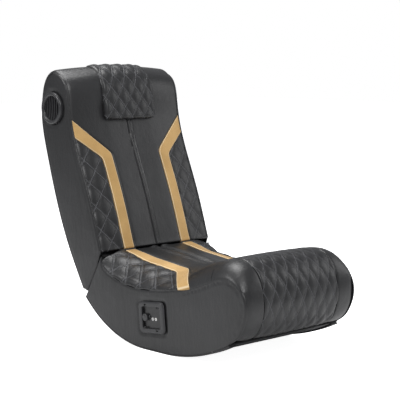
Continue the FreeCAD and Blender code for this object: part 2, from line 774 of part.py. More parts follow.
# Control panel: bezel, face plate, amplifier, knob, button and two sockets
def rounded_block(long, tall, radius, x0, x1):
    block = box(x0, x1, -long / 2, long / 2, -tall / 2, tall / 2)
    upright = [e for e in block.Edges if abs(e.Vertexes[0].X - e.Vertexes[1].X) > 1e-6]
    return block.makeFillet(radius, upright)


def control_panel():
    face = -WIDTH / 2
    outer = rounded_block(PANEL_LONG, PANEL_TALL, PANEL_CORNER_R, face - BEZEL_PROUD, face - FIT)
    front = [e for e in outer.Edges if all(abs(v.X - (face - BEZEL_PROUD)) < 1e-6 for v in e.Vertexes)]
    outer = outer.makeChamfer(BEZEL_BEVEL, front)
    skirt = box(face - FIT, -INNER_X - FIT, -FACE_LONG / 2 - SKIRT, FACE_LONG / 2 + SKIRT,
                -FACE_TALL / 2 - SKIRT, FACE_TALL / 2 + SKIRT)
    opening = rounded_block(FACE_LONG, FACE_TALL, FACE_CORNER_R, face - OVERSHOOT, face + OVERSHOOT)
    pieces["control_bezel"] = panel_place(outer.fuse(skirt).cut(opening).removeSplitter())

    plate_x = face + PLATE_DEPTH
    panel = rounded_block(FACE_LONG - FIT, FACE_TALL - FIT, FACE_CORNER_R, plate_x - PLATE_T, plate_x)
    amp = box(-INNER_X + FIT, plate_x + AMP_DEEP, -FACE_LONG / 2 - AMP_RIM, FACE_LONG / 2 + AMP_RIM,
              -FACE_TALL / 2 - AMP_RIM, FACE_TALL / 2 + AMP_RIM)
    amp = amp.fuse(box(plate_x, -INNER_X + FIT, -FACE_LONG / 2 + AMP_RIM, FACE_LONG / 2 - AMP_RIM,
                       -FACE_TALL / 2 + AMP_RIM, FACE_TALL / 2 - AMP_RIM)).removeSplitter()
    out = Vector(-1, 0, 0)

    def drill(radius, across, up, deep):
        return Part.makeCylinder(radius, deep + 30, Vector(plate_x + deep, across, up), out)

    shaft_hole = drill(SHAFT_R + RUN_PLAY, KNOB_ACROSS, 0, 12)
    button_hole = drill(BUTTON_R + RUN_PLAY, BUTTON_ACROSS, BUTTON_UP, 8)
    cutters = [shaft_hole, button_hole]
    for i, across in enumerate(JACK_ACROSS):
        cutters.append(drill(JACK_COLLAR_R, across, JACK_UP, JACK_DEEP))
        collar = Part.makeCylinder(JACK_COLLAR_R, JACK_DEEP + PLATE_T + JACK_PROUD,
                                   Vector(plate_x + JACK_DEEP, across, JACK_UP), out)
        mouth = plate_x - PLATE_T - JACK_PROUD
        hole = Part.makeCylinder(JACK_R, JACK_HOLE, Vector(mouth, across, JACK_UP), Vector(1, 0, 0))
        pieces["jack_%d" % (i + 1)] = panel_place(collar.cut(hole))
    pieces["control_plate"] = panel_place(cut_all(panel, cutters))
    well = box(plate_x - 1, plate_x + JACK_DEEP, min(JACK_ACROSS) - WELL, KNOB_ACROSS + WELL,
               JACK_UP - WELL, BUTTON_UP + WELL)
    pieces["amplifier"] = panel_place(amp.cut(well))

    knob_base = plate_x - PLATE_T - FIT
    knob = Part.makeCylinder(KNOB_R, KNOB_PROUD, Vector(knob_base, KNOB_ACROSS, 0), out)
    pointer = box(knob_base - KNOB_PROUD - 1, knob_base - KNOB_PROUD + 0.8, KNOB_ACROSS - 0.8,
                  KNOB_ACROSS + 0.8, 3, KNOB_R - 2)
    shaft = Part.makeCylinder(SHAFT_R, PLATE_T + FIT + 11, Vector(plate_x + 11, KNOB_ACROSS, 0), out)
    pieces["volume_knob"] = panel_place(knob.cut(pointer).fuse(shaft).removeSplitter())
    button = Part.makeCylinder(BUTTON_R, PLATE_T + BUTTON_PROUD + 8 - BUTTON_TRAVEL - FIT,
                               Vector(plate_x + 8 - BUTTON_TRAVEL - FIT, BUTTON_ACROSS, BUTTON_UP), out)
    pieces["power_button"] = panel_place(button)


def save_all():
    """The origin goes to the middle of the chair's box, on the floor."""
    whole = FreeCAD.BoundBox()
    for shape in pieces.values():
        whole.add(shape.optimalBoundingBox(False))
    shift = Vector(-(whole.XMin + whole.XMax) / 2, -(whole.YMin + whole.YMax) / 2, -whole.ZMin)
    os.makedirs("parts", exist_ok=True)
    for name, shape in pieces.items():
        moved = shape.copy()
        moved.translate(shift)
        moved.exportStep("parts/" + name + ".step")
    print("origin moved by", shift, "box", whole.XLength, whole.YLength, whole.ZLength)


seat_frame()
butt_rails()
hinge("left", HINGE_X)
hinge("right", -HINGE_X)
seat_cushions()
bolster()
seat_covers()
back_frame()
back_cushions()
headrest()
back_covers()
speaker()
control_panel()
save_all()
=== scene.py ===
import math
import bpy
import numpy as np
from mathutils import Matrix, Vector
from mathutils.geometry import delaunay_2d_cdt


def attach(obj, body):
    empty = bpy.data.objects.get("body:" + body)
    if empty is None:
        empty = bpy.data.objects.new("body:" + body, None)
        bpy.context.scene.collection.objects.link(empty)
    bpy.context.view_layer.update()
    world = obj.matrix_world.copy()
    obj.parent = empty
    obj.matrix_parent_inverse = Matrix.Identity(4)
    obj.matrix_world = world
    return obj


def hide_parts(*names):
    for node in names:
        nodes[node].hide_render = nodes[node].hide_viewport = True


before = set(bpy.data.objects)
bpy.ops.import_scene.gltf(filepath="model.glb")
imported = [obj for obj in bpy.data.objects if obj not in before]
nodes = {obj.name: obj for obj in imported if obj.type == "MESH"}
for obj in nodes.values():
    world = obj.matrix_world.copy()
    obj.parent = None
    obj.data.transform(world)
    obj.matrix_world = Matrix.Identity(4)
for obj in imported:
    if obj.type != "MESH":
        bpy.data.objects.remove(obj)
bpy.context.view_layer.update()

# Camera, at the height of a standing child's eye and to the sitter's right, with a long lens.
# It looks at the middle of the chair.
AIM = Vector((0.0, -0.0325, 0.4046))
CAMERA_TURN = math.radians(-43.5)
CAMERA_RISE = math.radians(6.536)
CAMERA_FAR = 3.661
toward = Vector((math.sin(CAMERA_TURN) * math.cos(CAMERA_RISE),
                 -math.cos(CAMERA_TURN) * math.cos(CAMERA_RISE), math.sin(CAMERA_RISE)))
lens = bpy.data.cameras.new("camera")
lens.sensor_width = 36.0
lens.lens = 113.8
lens.clip_end = 50.0
camera = bpy.data.objects.new("camera", lens)
camera.location = AIM + toward * CAMERA_FAR
camera.rotation_euler = toward.to_track_quat("Z", "Y").to_euler()
bpy.context.scene.collection.objects.link(camera)
bpy.context.scene.camera = camera
bpy.context.scene.view_settings.view_transform = "Standard"


# Shader sums are written as plain sums: a Link is a socket's output, and each sum of Links adds
# the Math node that works it out.
class Link:
    def __init__(self, finish, socket):
        self.finish = finish
        self.socket = socket

    def sum(self, operation, *values):
        return self.finish.node("ShaderNodeMath", {"operation": operation}, list(values))

    def __add__(self, other):
        return self.sum("ADD", self, other)

    def __radd__(self, other):
        return self.sum("ADD", other, self)

    def __sub__(self, other):
        return self.sum("SUBTRACT", self, other)

    def __rsub__(self, other):
        return self.sum("SUBTRACT", other, self)

    def __mul__(self, other):
        return self.sum("MULTIPLY", self, other)

    def __rmul__(self, other):
        return self.sum("MULTIPLY", other, self)

    def nearest_line(self):
        """How far this number is from the nearest whole number."""
        return self.sum("PINGPONG", self, 0.5)

    def ramp(self, start, end):
        """Goes smoothly from 0 at start to 1 at end."""
        return self.finish.node("ShaderNodeMapRange", {"interpolation_type": "SMOOTHSTEP"},
                                {"Value": self, "From Min": start, "From Max": end}, "Result")


class Finish:
    """One material, made of nodes."""

    def __init__(self, name):
        self.material = bpy.data.materials.new(name)
        self.material.use_nodes = True
        self.tree = self.material.node_tree
        self.tree.nodes.clear()

    def node(self, kind, settings=None, values=(), output=0):
        made = self.tree.nodes.new(kind)
        for name, value in (settings or {}).items():
            setattr(made, name, value)
        for key, value in (values.items() if isinstance(values, dict) else enumerate(values)):
            socket = made.inputs[key]
            if isinstance(value, Link):
                self.tree.links.new(value.socket, socket)
            elif value is not None:
                socket.default_value = value
        return Link(self, made.outputs[output])

    def place(self, turn=(0, 0, 0), scale=(1, 1, 1)):
        """Where a point of the piece is, in metres, turned or scaled for a pattern."""
        at = self.node("ShaderNodeTexCoord", output="Object")
        return self.node("ShaderNodeMapping", {}, {"Vector": at, "Rotation": turn, "Scale": scale})

    def noise(self, scale, detail=3.0, rough=0.55, at=None):
        return self.node("ShaderNodeTexNoise", {}, {"Vector": at or self.place(), "Scale": scale,
                                                    "Detail": detail, "Roughness": rough})

    def mix(self, share, first, second):
        return self.node("ShaderNodeMix", {"data_type": "RGBA"}, {0: share, 6: first, 7: second}, 2)

    def bump(self, height, depth, strength=1.0, onto=None):
        return self.node("ShaderNodeBump", {}, {"Height": height, "Distance": depth,
                                                "Strength": strength, "Normal": onto})

    def surface(self, **values):
        names = {key.replace("_", " "): value for key, value in values.items()}
        shader = self.node("ShaderNodeBsdfPrincipled", {}, names)
        out = self.tree.nodes.new("ShaderNodeOutputMaterial")
        self.tree.links.new(shader.socket, out.inputs["Surface"])
        return self.material


# Floor and light: a white studio with soft light from above, the front and both sides.
# The floor is lit white to the camera and keeps the chair's soft shadow.
def studio():
    bpy.ops.mesh.primitive_plane_add(size=30, location=(0, 0, -0.0005))
    floor = bpy.context.object
    floor.name = "floor"
    ground = Finish("pale floor")
    seen = ground.node("ShaderNodeLightPath", output=0)
    speckle = ground.noise(3.0)
    tint = ground.mix(speckle, (0.86, 0.86, 0.86, 1), (0.9, 0.9, 0.9, 1))
    glow = ground.mix(seen, (0.0, 0.0, 0.0, 1), (1.0, 1.0, 1.0, 1))
    floor.data.materials.append(ground.surface(Base_Color=tint, Roughness=0.8, Specular_IOR_Level=0.1,
                                               Emission_Color=glow, Emission_Strength=0.95))
    world = bpy.data.worlds.new("studio")
    world.use_nodes = True
    bpy.context.scene.world = world
    tree = world.node_tree
    path = tree.nodes.new("ShaderNodeLightPath")
    either = tree.nodes.new("ShaderNodeMath")
    either.operation = "MAXIMUM"
    tree.links.new(path.outputs["Is Camera Ray"], either.inputs[0])
    tree.links.new(path.outputs["Is Transmission Ray"], either.inputs[1])
    colour = tree.nodes.new("ShaderNodeMix")
    colour.data_type = "RGBA"
    colour.inputs[6].default_value = (0.31, 0.313, 0.325, 1)
    colour.inputs[7].default_value = (1, 1, 1, 1)
    tree.links.new(either.outputs[0], colour.inputs[0])
    tree.links.new(colour.outputs[2], tree.nodes["Background"].inputs["Color"])
    for name, place, size, power in (
            ("key", (-1.1, -2.6, 3.0), 1.5, 60.0), ("top", (0.1, 0.8, 3.4), 2.0, 84.0),
            ("side", (2.8, -1.6, 1.6), 1.6, 15.0), ("rear", (-2.8, 1.2, 2.2), 0.9, 40.0)):
        lamp = bpy.data.lights.new(name, "AREA")
        lamp.energy = power
        lamp.size = size
        light = bpy.data.objects.new(name, lamp)
        light.location = place
        light.rotation_euler = (Vector(place) - AIM).to_track_quat("Z", "Y").to_euler()
        bpy.context.scene.collection.objects.link(light)


studio()

# The chair's side view: smooth lines from the crease up the back and over the head to the rear,
# and from the crease along the seat and round the front. Places on them are metres from the crease.
ROW_SHIFT = -0.032519
HALF_WIDTH = 0.22
INNER_X = 0.2115
COVER_X = 0.2186


class Skin:
    def __init__(self, points, inward):
        knots = np.array(points) / 1000 + (ROW_SHIFT, 0)
        steps = np.linalg.norm(np.diff(knots, axis=0), axis=1)
        at = np.concatenate(([0], np.cumsum(steps)))
        count = len(knots)
        system = np.zeros((count, count))
        wanted = np.zeros((count, 2))
        system[0, 0] = system[-1, -1] = 1
        for i in range(1, count - 1):
            system[i, i - 1:i + 2] = steps[i - 1], 2 * (steps[i - 1] + steps[i]), steps[i]
            wanted[i] = 6 * ((knots[i + 1] - knots[i]) / steps[i] - (knots[i] - knots[i - 1]) / steps[i - 1])
        curl = np.linalg.solve(system, wanted)
        fine = np.linspace(0, at[-1], 1500)
        i = np.clip(np.searchsorted(at, fine, "right") - 1, 0, count - 2)
        h = steps[i][:, None]
        right = ((fine - at[i])[:, None]) / h
        left = 1 - right
        self.line = (left * knots[i] + right * knots[i + 1]
                     + ((left ** 3 - left) * curl[i] + (right ** 3 - right) * curl[i + 1]) * h ** 2 / 6)
        self.far = np.concatenate(([0], np.cumsum(np.linalg.norm(np.diff(self.line, axis=0), axis=1))))
        self.length = self.far[-1]
        run = np.gradient(self.line, self.far, axis=0)
        run /= np.linalg.norm(run, axis=1)[:, None]
        self.into = np.stack((run[:, 1], -run[:, 0]), 1) * inward

    def place(self, distance, depth=0.0):
        """Side view place, y and z, at a distance from the crease and a depth under the skin."""
        read = [np.interp(distance, self.far, self.line[:, k]) for k in (0, 1)]
        into = [np.interp(distance, self.far, self.into[:, k]) for k in (0, 1)]
        return np.stack([read[k] + into[k] * depth for k in (0, 1)], -1)


back_skin = Skin([(184.5, 251.5), (208, 325), (246, 430), (300, 562), (320, 632), (331, 700), (346, 744),
                  (378, 768), (418, 769), (449, 745), (466, 698), (471, 645), (448, 530), (409, 405),
                  (352, 265), (278, 134)], 1)
seat_skin = Skin([(183.5, 250.5), (124, 247), (64, 241), (0, 234), (-60, 229), (-124, 238), (-200, 262),
                  (-262, 281), (-312, 287), (-354, 275), (-385, 243), (-401, 200), (-404, 158),
                  (-394, 118), (-372, 86), (-343, 66)], -1)
seat_seam = Skin([(186, 246), (176, 214), (140, 194), (99, 182), (39, 173), (-51, 178), (-144, 193),
                  (-251, 228), (-323, 249), (-372, 234), (-401, 197), (-406, 158), (-394, 118),
                  (-372, 86), (-343, 66)], -1)


def solid_mesh(name, points, faces, smooth=50):
    """A mesh object with its faces turned outwards."""
    mesh = bpy.data.meshes.new(name)
    mesh.from_pydata([tuple(p) for p in points], [], [tuple(int(i) for i in f) for f in faces])
    piece = bpy.data.objects.new(name, mesh)
    bpy.context.scene.collection.objects.link(piece)
    bpy.ops.object.select_all(action="DESELECT")
    bpy.context.view_layer.objects.active = piece
    piece.select_set(True)
    bpy.ops.object.mode_set(mode="EDIT")
    bpy.ops.mesh.select_all(action="SELECT")
    bpy.ops.mesh.normals_make_consistent(inside=False)
    bpy.ops.object.mode_set(mode="OBJECT")
    bpy.ops.object.shade_smooth_by_angle(angle=math.radians(smooth))
    piece.select_set(False)
    return piece


def rolled(gap, width, drop):
    """A sewn edge: the cover rolls down by drop over the last width before its seam."""
    near = 1 - np.clip(gap, 0, width) / width
    return -drop * (1 - np.sqrt(np.clip(1 - near ** 2, 0, 1)))


def spread(count, edge=0.06):
    """Shares from 0 to 1 that lie closer together towards both ends."""
    t = np.linspace(0, 1, count)
    return (1 - edge * 4) * t + edge * 4 * (0.5 - 0.5 * np.cos(math.pi * t))


def panel(name, skin, rows, left, right, columns, lift, under):
    """A closed padded panel on a skin. rows are distances along it, left and right give each
    row's edges, and lift(x, rows, side gap, end gap) how far the cover stands over the skin."""
    rows = np.asarray(rows)
    share = spread(columns)
    x = left(rows)[:, None] * (1 - share) + right(rows)[:, None] * share
    along = np.repeat(rows[:, None], columns, 1)
    side_gap = np.minimum(x - left(rows)[:, None], right(rows)[:, None] - x)
    end_gap = np.minimum(along - rows[0], rows[-1] - along)
    up = lift(x, along, side_gap, end_gap)
    down = under(x, along, up)
    layers = []
    for height in (up, np.minimum(up - 0.0012, (up * 2 - down) / 3), -down):
        spot = skin.place(along, -height)
        layers.append(np.concatenate((x[..., None], spot), -1).reshape(-1, 3))
    tall, wide = x.shape
    size = tall * wide
    grid = np.arange(size).reshape(tall, wide)
    quads = np.stack((grid[:-1, :-1], grid[:-1, 1:], grid[1:, 1:], grid[1:, :-1]), -1).reshape(-1, 4)
    rim = np.concatenate((grid[0, :-1], grid[:-1, -1], grid[-1, :0:-1], grid[:0:-1, 0]))
    after = np.roll(rim, -1)
    number = {int(v): i for i, v in enumerate(rim)}
    points = np.concatenate((layers[0], layers[2], layers[1][rim]))
    middle = 2 * size + np.arange(len(rim))
    next_middle = np.roll(middle, -1)
    faces = [q for q in quads] + [q[::-1] + size for q in quads]
    faces += list(np.stack((rim, middle, next_middle, after), -1))
    faces += list(np.stack((middle, rim + size, after + size, next_middle), -1))
    piece = solid_mesh(name, points, faces)
    return piece, (x.reshape(-1), along.reshape(-1))


def sewing_map(piece, across, along):
    """A UV map that counts, for the cover's seams: across the panel and along it."""
    layer = piece.data.uv_layers.new(name="sewing")
    count = len(across)
    spot = np.zeros(len(piece.data.loops), int)
    piece.data.loops.foreach_get("vertex_index", spot)
    inside = spot < count
    u = np.where(inside, across[np.minimum(spot, count - 1)], 0.25)
    v = np.where(inside, along[np.minimum(spot, count - 1)], 0.25)
    layer.data.foreach_set("uv", np.stack((u, v), -1).reshape(-1).astype(np.float32))


# Black cover: smooth polyurethane leather with a fine grain, a soft shine and shallow creases.
# Quilted pieces have stitching along the lines of their diamonds, painted light grey as a highlight along
# each seam.
def black_leather(name, quilted=False, crease=1.0):
    leather = Finish(name)
    at = leather.place()
    wander = leather.noise(6.0, 2.0, 0.5, at)
    grain = leather.node("ShaderNodeTexVoronoi", {"feature": "SMOOTH_F1"},
                         {"Vector": at, "Scale": 620.0, "Smoothness": 0.7})
    creases = leather.noise(34.0, 4.0, 0.6, leather.place(scale=(1, 1.6, 0.55)))
    slack = leather.noise(9.0, 2.0, 0.5, at)
    worn = leather.noise(150.0, 3.0, 0.6, at)
    colour = leather.mix(wander.ramp(0.35, 0.7), (0.0060, 0.0061, 0.0068, 1), (0.0105, 0.0107, 0.0118, 1))
    rough = 0.335 + worn * 0.09 + wander * 0.06
    height = leather.bump(slack, 0.0042 * crease, 0.5)
    height = leather.bump(creases, 0.0022 * crease, 0.6, height)
    if quilted:
        uv = leather.node("ShaderNodeUVMap", {"uv_map": "sewing"})
        split = leather.tree.nodes.new("ShaderNodeSeparateXYZ")
        leather.tree.links.new(uv.socket, split.inputs[0])
        u = Link(leather, split.outputs[0])
        v = Link(leather, split.outputs[1])
        rising = ((u + v) * 0.5).nearest_line()
        falling = ((u - v) * 0.5).nearest_line()
        line = rising.sum("MINIMUM", rising, falling)
        on_thread = 1 - line.ramp(0.010, 0.032)
        dash = (v * 12.0).nearest_line().ramp(0.04, 0.16)
        thread_and_painted_highlight = on_thread * dash
        gutter = 1 - line.ramp(0.0, 0.12)
        pucker = leather.noise(70.0, 2.0, 0.5, leather.place(scale=(1, 1, 1)))
        height = leather.bump(pucker * gutter, 0.0035, 0.7, height)
        height = leather.bump(thread_and_painted_highlight, 0.0006, 0.9, height)
        colour = leather.mix(gutter * 0.55, colour, (0.008, 0.008, 0.009, 1))
        # Painted highlight: the stitching is made light grey to stand in for the highlight along each sewn
        # line.
        colour = leather.mix(thread_and_painted_highlight * 0.8, colour, (0.11, 0.112, 0.124, 1))
        rough = rough + thread_and_painted_highlight * 0.25
    height = leather.bump(grain, 0.00035, 0.6, height)
    return leather.surface(Base_Color=colour, Roughness=rough, Normal=height, Specular_IOR_Level=0.5,
                           Coat_Weight=0.2, Coat_Roughness=0.34)


plain_black = black_leather("black leather")
quilted_black = black_leather("quilted black leather", quilted=True, crease=0.6)

# Gold cover: the stripes' satin faced polyurethane, with a very fine ribbed weave and a painted
# highlight along its folded edges.
def gold_satin():
    satin = Finish("gold satin")
    at = satin.place()
    ribs = satin.node("ShaderNodeTexWave", {"bands_direction": "DIAGONAL"},
                      {"Vector": at, "Scale": 260.0, "Distortion": 1.2, "Detail": 2.0})
    cloud = satin.noise(14.0, 3.0, 0.5, at)
    fleck = satin.noise(420.0, 2.0, 0.6, at)
    colour = satin.mix(cloud.ramp(0.3, 0.7), (0.46, 0.27, 0.085, 1), (0.57, 0.35, 0.125, 1))
    colour = satin.mix(ribs * 0.22, colour, (0.78, 0.55, 0.26, 1))
    fold = satin.node("ShaderNodeUVMap", {"uv_map": "sewing"})
    split = satin.tree.nodes.new("ShaderNodeSeparateXYZ")
    satin.tree.links.new(fold.socket, split.inputs[0])
    from_edge = Link(satin, split.outputs[0])
    # Painted highlight: a lighter band just inside each folded edge stands in for the light the fold catches.
    edge = (1 - from_edge.ramp(0.0018, 0.0042)) * from_edge.ramp(0.0004, 0.0012)
    colour = satin.mix(edge * 0.75, colour, (0.86, 0.70, 0.46, 1))
    colour = satin.mix((1 - from_edge.ramp(0.0, 0.0006)) * 0.6, colour, (0.12, 0.07, 0.02, 1))
    normal = satin.bump(ribs, 0.00025, 0.5)
    normal = satin.bump(cloud, 0.0025, 0.3, normal)
    return satin.surface(Base_Color=colour, Roughness=0.42 + fleck * 0.1, Normal=normal, Metallic=0.18,
                         Sheen_Weight=0.15, Sheen_Roughness=0.4)


gold = gold_satin()


def finish_soft(piece, material, body, fill, *replaced):
    piece.data.materials.clear()
    piece.data.materials.append(material)
    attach(piece, body)
    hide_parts(*replaced)


# Shape of both cushions. Each stripe runs straight up the cushion and then slants to the side.
STRIPE_IN = 0.094
STRIPE_OUT = 0.132
BEND_SOFTNESS = 0.004
CREASE_SWELL = 0.0022
CREASE_START = 0.0030
CREASE_ROUND = 0.005
CREASE_DROP = 0.0028
BACK_PROUD = 0.004
BACK_FALL = 0.010
BACK_TOP = 0.592
HEAD_CROWN = 0.0115
HEAD_START = 0.400
HEAD_FULL = 0.540
REAR_FLAT = 0.700
SEAT_CROWN = 0.013
SEAT_PAD = 0.058
SEAT_MOST_DROP = 0.051


def bend(distance, near, bend_at, end_at):
    slope = (HALF_WIDTH - near) / (end_at - bend_at)
    past = (distance - bend_at) / BEND_SOFTNESS
    return near + slope * BEND_SOFTNESS * np.logaddexp(0, np.clip(past, -40, 200))


def back_in(d):
    return bend(d, STRIPE_IN, 0.298, 0.413)


def back_out(d):
    return bend(d, STRIPE_OUT, 0.284, 0.358)


def seat_in(d):
    return bend(d, STRIPE_IN, 0.240, 0.360)


def seat_out(d):
    return bend(d, STRIPE_OUT, 0.229, 0.314)


def valley(d):
    """Both cushions swell a little at the crease, where they press on each other over the hinges."""
    return -CREASE_SWELL * np.clip(1 - d / 0.03, 0, 1) ** 2


def smooth(d, start, end):
    share = np.clip((d - start) / (end - start), 0, 1)
    return share * share * (3 - 2 * share)


def back_height(x, d):
    """The head is crowned, and its crown runs out again down the rear."""
    share = np.abs(x) / HALF_WIDTH
    rear = 1 - smooth(d, BACK_TOP, REAR_FLAT)
    crown = HEAD_CROWN * smooth(d, HEAD_START, HEAD_FULL) * rear
    fall = BACK_FALL * share ** 3 * (1 - smooth(d, HEAD_FULL, BACK_TOP))
    return BACK_PROUD * rear - fall + crown * (1 - share ** 2) - valley(d)


def seam_drops():
    """How far under the skin the side seam runs, for places along the skin."""
    at = np.arange(0, seat_skin.length, 0.005)
    point = seat_skin.place(at)
    into = seat_skin.place(at, 1.0) - point
    offset = seat_seam.line[None] - point[:, None]
    deep = offset[..., 0] * into[:, :1] + offset[..., 1] * into[:, 1:]
    run = np.abs(offset[..., 0] * into[:, 1:] - offset[..., 1] * into[:, :1])
    run[(deep < -SEAT_PAD) | (deep > 2 * SEAT_PAD)] = 9.0
    foot = np.argmin(run, 1)
    return at, np.clip(deep[np.arange(len(at)), foot], 0, 1)


SEAM_AT, SEAM_DROP = seam_drops()


def seat_height(x, d):
    """The seat is crowned between its stripes, and rolls over the shoulders to the side seam."""
    out = np.abs(x)
    past = np.clip(out - STRIPE_OUT, 0, 1) / (HALF_WIDTH - STRIPE_OUT)
    rise = smooth(d, 0, 0.110) * (1 - 0.85 * smooth(d, 0.270, 0.420))
    edge_crown = SEAT_CROWN * rise * (HALF_WIDTH / STRIPE_OUT) ** 2
    shoulder = np.clip(np.interp(d, SEAM_AT, SEAM_DROP) - edge_crown, 0, 1) * past ** 3
    full = SEAT_CROWN * rise * (x / STRIPE_OUT) ** 2 + shoulder + valley(d)
    capped = np.minimum(full, SEAT_MOST_DROP)
    return -capped - (full - capped) * smooth(out, INNER_X - 0.002, COVER_X)


def seat_under(x, d, up):
    """The underside is flat, and reaches down to the side seam past the frame's boards."""
    return np.where(np.abs(x) > INNER_X - 0.001, np.maximum(SEAT_PAD, 0.005 - up), SEAT_PAD)


def diamond(u, v):
    """1 in the middle of a sewn diamond and 0 on its seams."""
    return np.abs(np.sin(math.pi * (u + v) / 2) * np.sin(math.pi * (u - v) / 2))


def flat_under(depth):
    return lambda x, d, up: np.full_like(x, depth)


def underside(skin, depth):
    return seat_under if skin is seat_skin else flat_under(depth)


# Back cushion: black leather over foam, from the crease to the top of the head. Two seams run
# down its middle, with a narrow rib between them.
BACK_PAD = 0.019
RIB = 0.0065


def back_middle():
    def lift(x, d, side_gap, end_gap):
        groove = 0.0034 * np.exp(-((np.abs(x) - RIB) / 0.0024) ** 2)
        rib = 0.0022 * np.exp(-(x / 0.0045) ** 2)
        sag = 0.0015 * np.cos(np.clip(np.abs(x) / 0.094, 0, 1) * math.pi)
        at_side = np.where(right(d) >= COVER_X - 1e-6, 1.0, 0.0)
        edge = rolled(side_gap, 0.010, 0.0035) * (1 - at_side) + rolled(side_gap, 0.016, 0.0085) * at_side
        end = rolled(end_gap, CREASE_ROUND, CREASE_DROP)
        return back_height(x, d) + edge + end - groove + rib - sag * 0.6

    def right(d):
        return np.minimum(back_in(d) - 0.0004, COVER_X)

    rows = np.concatenate((np.linspace(CREASE_START, 0.02, 9)[:-1], np.linspace(0.02, 0.57, 120)[:-1],
                           np.linspace(0.57, BACK_TOP, 14)))
    piece, _ = panel("back_cushion_cover", back_skin, rows, lambda d: -right(d), right, 131, lift,
                         flat_under(BACK_PAD))
    finish_soft(piece, plain_black, "back", 0.7, "back_cushion")


back_middle()


# Diamond quilting: WINGS of the back, each a panel of black leather sewn in diamonds over foam.
# The panel lies outside the stripe and wraps round to the side seam.
def quilted_panel(name, skin, rows, left, right, columns, height, depth, size, rise, origin=(0.0, 0.0),
                  fade=None, edges=((0.008, 0.003), (0.008, 0.003)), end=(CREASE_ROUND, CREASE_DROP)):
    def lift(x, d, side_gap, end_gap):
        u = (x - origin[0]) / (size[0] / 2)
        v = (d - origin[1]) / (size[1] / 2)
        strength = rise if fade is None else rise * fade(d)
        puff = strength * (diamond(u, v) ** 0.5 - 0.35)
        edge = rolled(x - left(d), *edges[0]) + rolled(right(d) - x, *edges[1])
        return height(x, d) + puff + edge + rolled(end_gap, *end)

    piece, (x, d) = panel(name, skin, rows, left, right, columns, lift, underside(skin, depth))
    sewing_map(piece, (x - origin[0]) / (size[0] / 2), (d - origin[1]) / (size[1] / 2))
    return piece


def back_wings():
    for side, name in ((1, "left"), (-1, "right")):
        def inner(d):
            return np.minimum(back_out(d) + 0.0004, COVER_X - 0.0005)

        left = (lambda d: inner(d)) if side > 0 else (lambda d: np.full_like(d, -COVER_X))
        right = (lambda d: np.full_like(d, COVER_X)) if side > 0 else (lambda d: -inner(d))
        edges = ((0.006, 0.0025), (0.015, 0.008))
        rows = np.concatenate((np.linspace(CREASE_START, 0.02, 9)[:-1], np.linspace(0.02, 0.357, 96)))
        piece = quilted_panel("back_wing_cover_" + name, back_skin, rows, left, right, 31, back_height,
                              BACK_PAD, (0.058, 0.072), 0.0036, (side * 0.199, 0.066),
                              edges=edges if side > 0 else edges[::-1])
        finish_soft(piece, quilted_black, "back", 0.6, "back_wing_" + name)


back_wings()


# Stripes: gold satin folded over a thin strip of foam, sewn between the middle and the wings.
# Each one slants out to the side seam at its end.
def stripes(body, skin, inner, outer, height, depth, last, end_lift):
    for side, name in ((1, "left"), (-1, "right")):
        def near(d):
            return np.minimum(inner(d) + 0.0004, COVER_X - 0.0004)

        def far(d):
            return np.minimum(outer(d) - 0.0004, COVER_X)

        left = near if side > 0 else (lambda d: -far(d))
        right = far if side > 0 else (lambda d: -near(d))

        def lift(x, d, side_gap, end_gap):
            at_side = np.where(far(d) >= COVER_X - 1e-6, 1.0, 0.0)
            wrap = rolled(COVER_X - np.abs(x), 0.015, 0.008) * at_side
            return height(x, d) + rolled(side_gap, 0.0035, 0.0016) + wrap + end_lift(d, end_gap) + 0.0004

        rows = np.concatenate((np.linspace(CREASE_START, 0.02, 9)[:-1], np.linspace(0.02, last, 130)))
        piece, (x, d) = panel("%s_stripe_cover_%s" % (body, name), skin, rows, left, right, 25, lift,
                              underside(skin, depth))
        sewing_map(piece, np.minimum(x - left(d), right(d) - x), d)
        finish_soft(piece, gold, body, 0.5, "%s_stripe_%s" % (body, name))


stripes("back", back_skin, back_in, back_out, back_height, BACK_PAD, 0.411,
        lambda d, end_gap: rolled(d - CREASE_START, CREASE_ROUND, CREASE_DROP))


# Headrest: a boxed pad of quilted leather over thick foam, sewn to the back's cover and draped
# over the top of the head. Its lower corners are round.
PAD_HALF = 0.0990
PAD_START = 0.398
PAD_END = 0.591
PAD_CORNER = 0.016


def headrest():
    def half(d):
        into = np.clip(PAD_CORNER - (d - PAD_START), 0, PAD_CORNER)
        return PAD_HALF - PAD_CORNER + np.sqrt(np.clip(PAD_CORNER ** 2 - into ** 2, 0, 1)) + 0.0002

    def height(x, d):
        thick = 0.0190 - 0.0135 * smooth(d, PAD_START, 0.540)
        sag = 0.003 * np.clip(np.abs(x) / PAD_HALF, 0, 1) ** 4
        return back_height(x, d) + thick - sag * smooth(thick, 0.004, 0.020)

    rows = np.concatenate((PAD_START + PAD_CORNER * (1 - np.cos(np.linspace(0.12, math.pi / 2, 12)))[:-1],
                           np.linspace(PAD_START + PAD_CORNER, PAD_END - 0.006, 60)[:-1],
                           np.linspace(PAD_END - 0.006, PAD_END, 6)))
    piece = quilted_panel("headrest_cover", back_skin, rows, lambda d: -half(d), half, 61, height, -0.0005,
                          (0.0465, 0.062), 0.0042, (0.0, PAD_START + 0.006),
                          edges=((0.011, 0.0085), (0.011, 0.0085)), end=(0.010, 0.010))
    finish_soft(piece, quilted_black, "back", 0.8, "headrest_pad")


headrest()


# Seat cushion: the black leather middle of the seat, over foam. One sewn groove runs from the
# crease to the front, and its front corners run over the shoulders.
SEAT_LENGTH = 0.452


